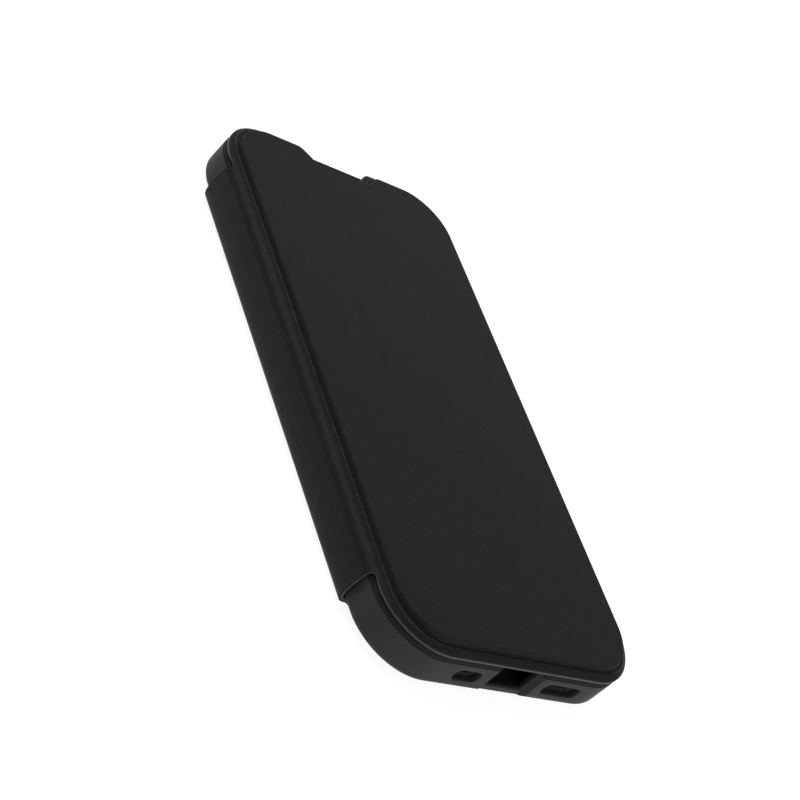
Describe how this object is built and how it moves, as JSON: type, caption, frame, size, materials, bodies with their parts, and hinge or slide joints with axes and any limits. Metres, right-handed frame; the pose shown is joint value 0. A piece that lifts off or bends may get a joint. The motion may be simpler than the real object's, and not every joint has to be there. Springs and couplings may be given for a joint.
{
  "type": "phone wallet case",
  "caption": "Folio phone case: a moulded tray with a soft screen lip, a wrapped spine with two soft folds, and a raised-panel cover with card pockets and an earpiece notch.",
  "frame": {"origin": "centre of the base: the middle of the bounding box's bottom, on the face that the closed case lies on", "axes": "+Z out of the cover, +Y to the earpiece end, spine at -X"},
  "size_m": [0.0786, 0.1518, 0.0138],
  "materials": {
    "shell": "soft-touch moulded plastic, satin",
    "bumper": "matte elastomer",
    "skin": "matte black coated skin embossed with a fine weave",
    "lining": "bluish-grey microfibre",
    "board": "stiff fibreboard",
    "foam": "thin closed-cell foam",
    "adhesive": "transfer tape",
    "magnet": "nickel plated"
  },
  "bodies": {
    "tray": {"outer_shell": "shell", "screen_bumper": "bumper", "tray_pad": "lining", "camera_bezel": "shell", "tray_magnet_upper": "magnet", "tray_magnet_lower": "magnet", "back_skin": "skin", "back_board": "board", "back_adhesive": "adhesive", "rear_crease": "skin"},
    "spine": {"spine_skin": "skin", "spine_stiffener": "board", "spine_lining": "lining"},
    "cover": {"front_crease": "skin", "cover_skin": "skin", "cover_pad": "foam", "cover_board": "board", "cover_magnet_upper": "magnet", "cover_magnet_lower": "magnet", "cover_lining": "lining", "card_pocket_upper": "skin", "card_pocket_lower": "skin"},
    "volume_up": {"volume_up_button": "bumper"},
    "volume_down": {"volume_down_button": "bumper"},
    "side_key": {"side_button": "bumper"}
  },
  "joints": [
    {"name": "rear_fold", "type": "hinge", "parent": "tray", "child": "spine", "pos_m": [-0.03836, 0, 0.00094], "axis": [0, -1, 0], "range_deg": [0, 180], "deforming": ["rear_crease"]},
    {"name": "front_fold", "type": "hinge", "parent": "spine", "child": "cover", "pos_m": [-0.03836, 0, 0.01096], "axis": [0, -1, 0], "range_deg": [0, 180], "deforming": ["front_crease"]},
    {"name": "volume_up_press", "type": "slide", "parent": "tray", "child": "volume_up", "axis": [1, 0, 0], "range_m": [0, 0.0003], "stiffness_N_per_m": 6000},
    {"name": "volume_down_press", "type": "slide", "parent": "tray", "child": "volume_down", "axis": [1, 0, 0], "range_m": [0, 0.0003], "stiffness_N_per_m": 6000},
    {"name": "side_press", "type": "slide", "parent": "tray", "child": "side_key", "axis": [-1, 0, 0], "range_m": [0, 0.0004], "stiffness_N_per_m": 6000}
  ]
}
